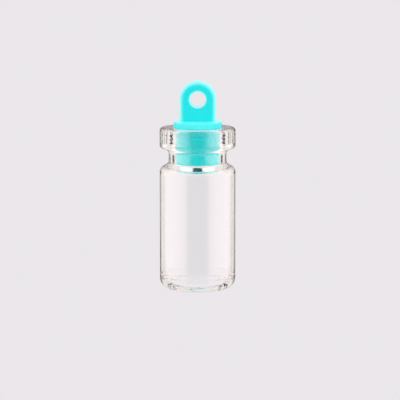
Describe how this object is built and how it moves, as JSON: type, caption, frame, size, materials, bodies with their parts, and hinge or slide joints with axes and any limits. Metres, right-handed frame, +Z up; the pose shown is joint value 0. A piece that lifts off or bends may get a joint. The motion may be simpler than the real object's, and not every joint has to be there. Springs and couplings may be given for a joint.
{
  "type": "gold sample vial",
  "caption": "Small clear glass vial with a thick rolled lip and a push-in turquoise plastic stopper that has a flange and an upright hanging ear with a hole.",
  "frame": {"origin": "centre of the base, on the surface that the vial stands on", "axes": "+Z up along the vial's axis towards the ear, the ear's flat faces look along -Y and +Y"},
  "size_m": [0.011, 0.011, 0.0304],
  "materials": {
    "clear_glass": "clear, polished, fire-formed",
    "turquoise_plastic": "moulded, soft gloss, slightly translucent"
  },
  "bodies": {
    "vial": {"glass_vial": "clear_glass"},
    "stopper": {"stopper": "turquoise_plastic"}
  },
  "joints": [
    {"name": "stopper_pull", "type": "slide", "parent": "vial", "child": "stopper", "axis": [0, 0, 1], "range_m": [0, 0.012]}
  ]
}
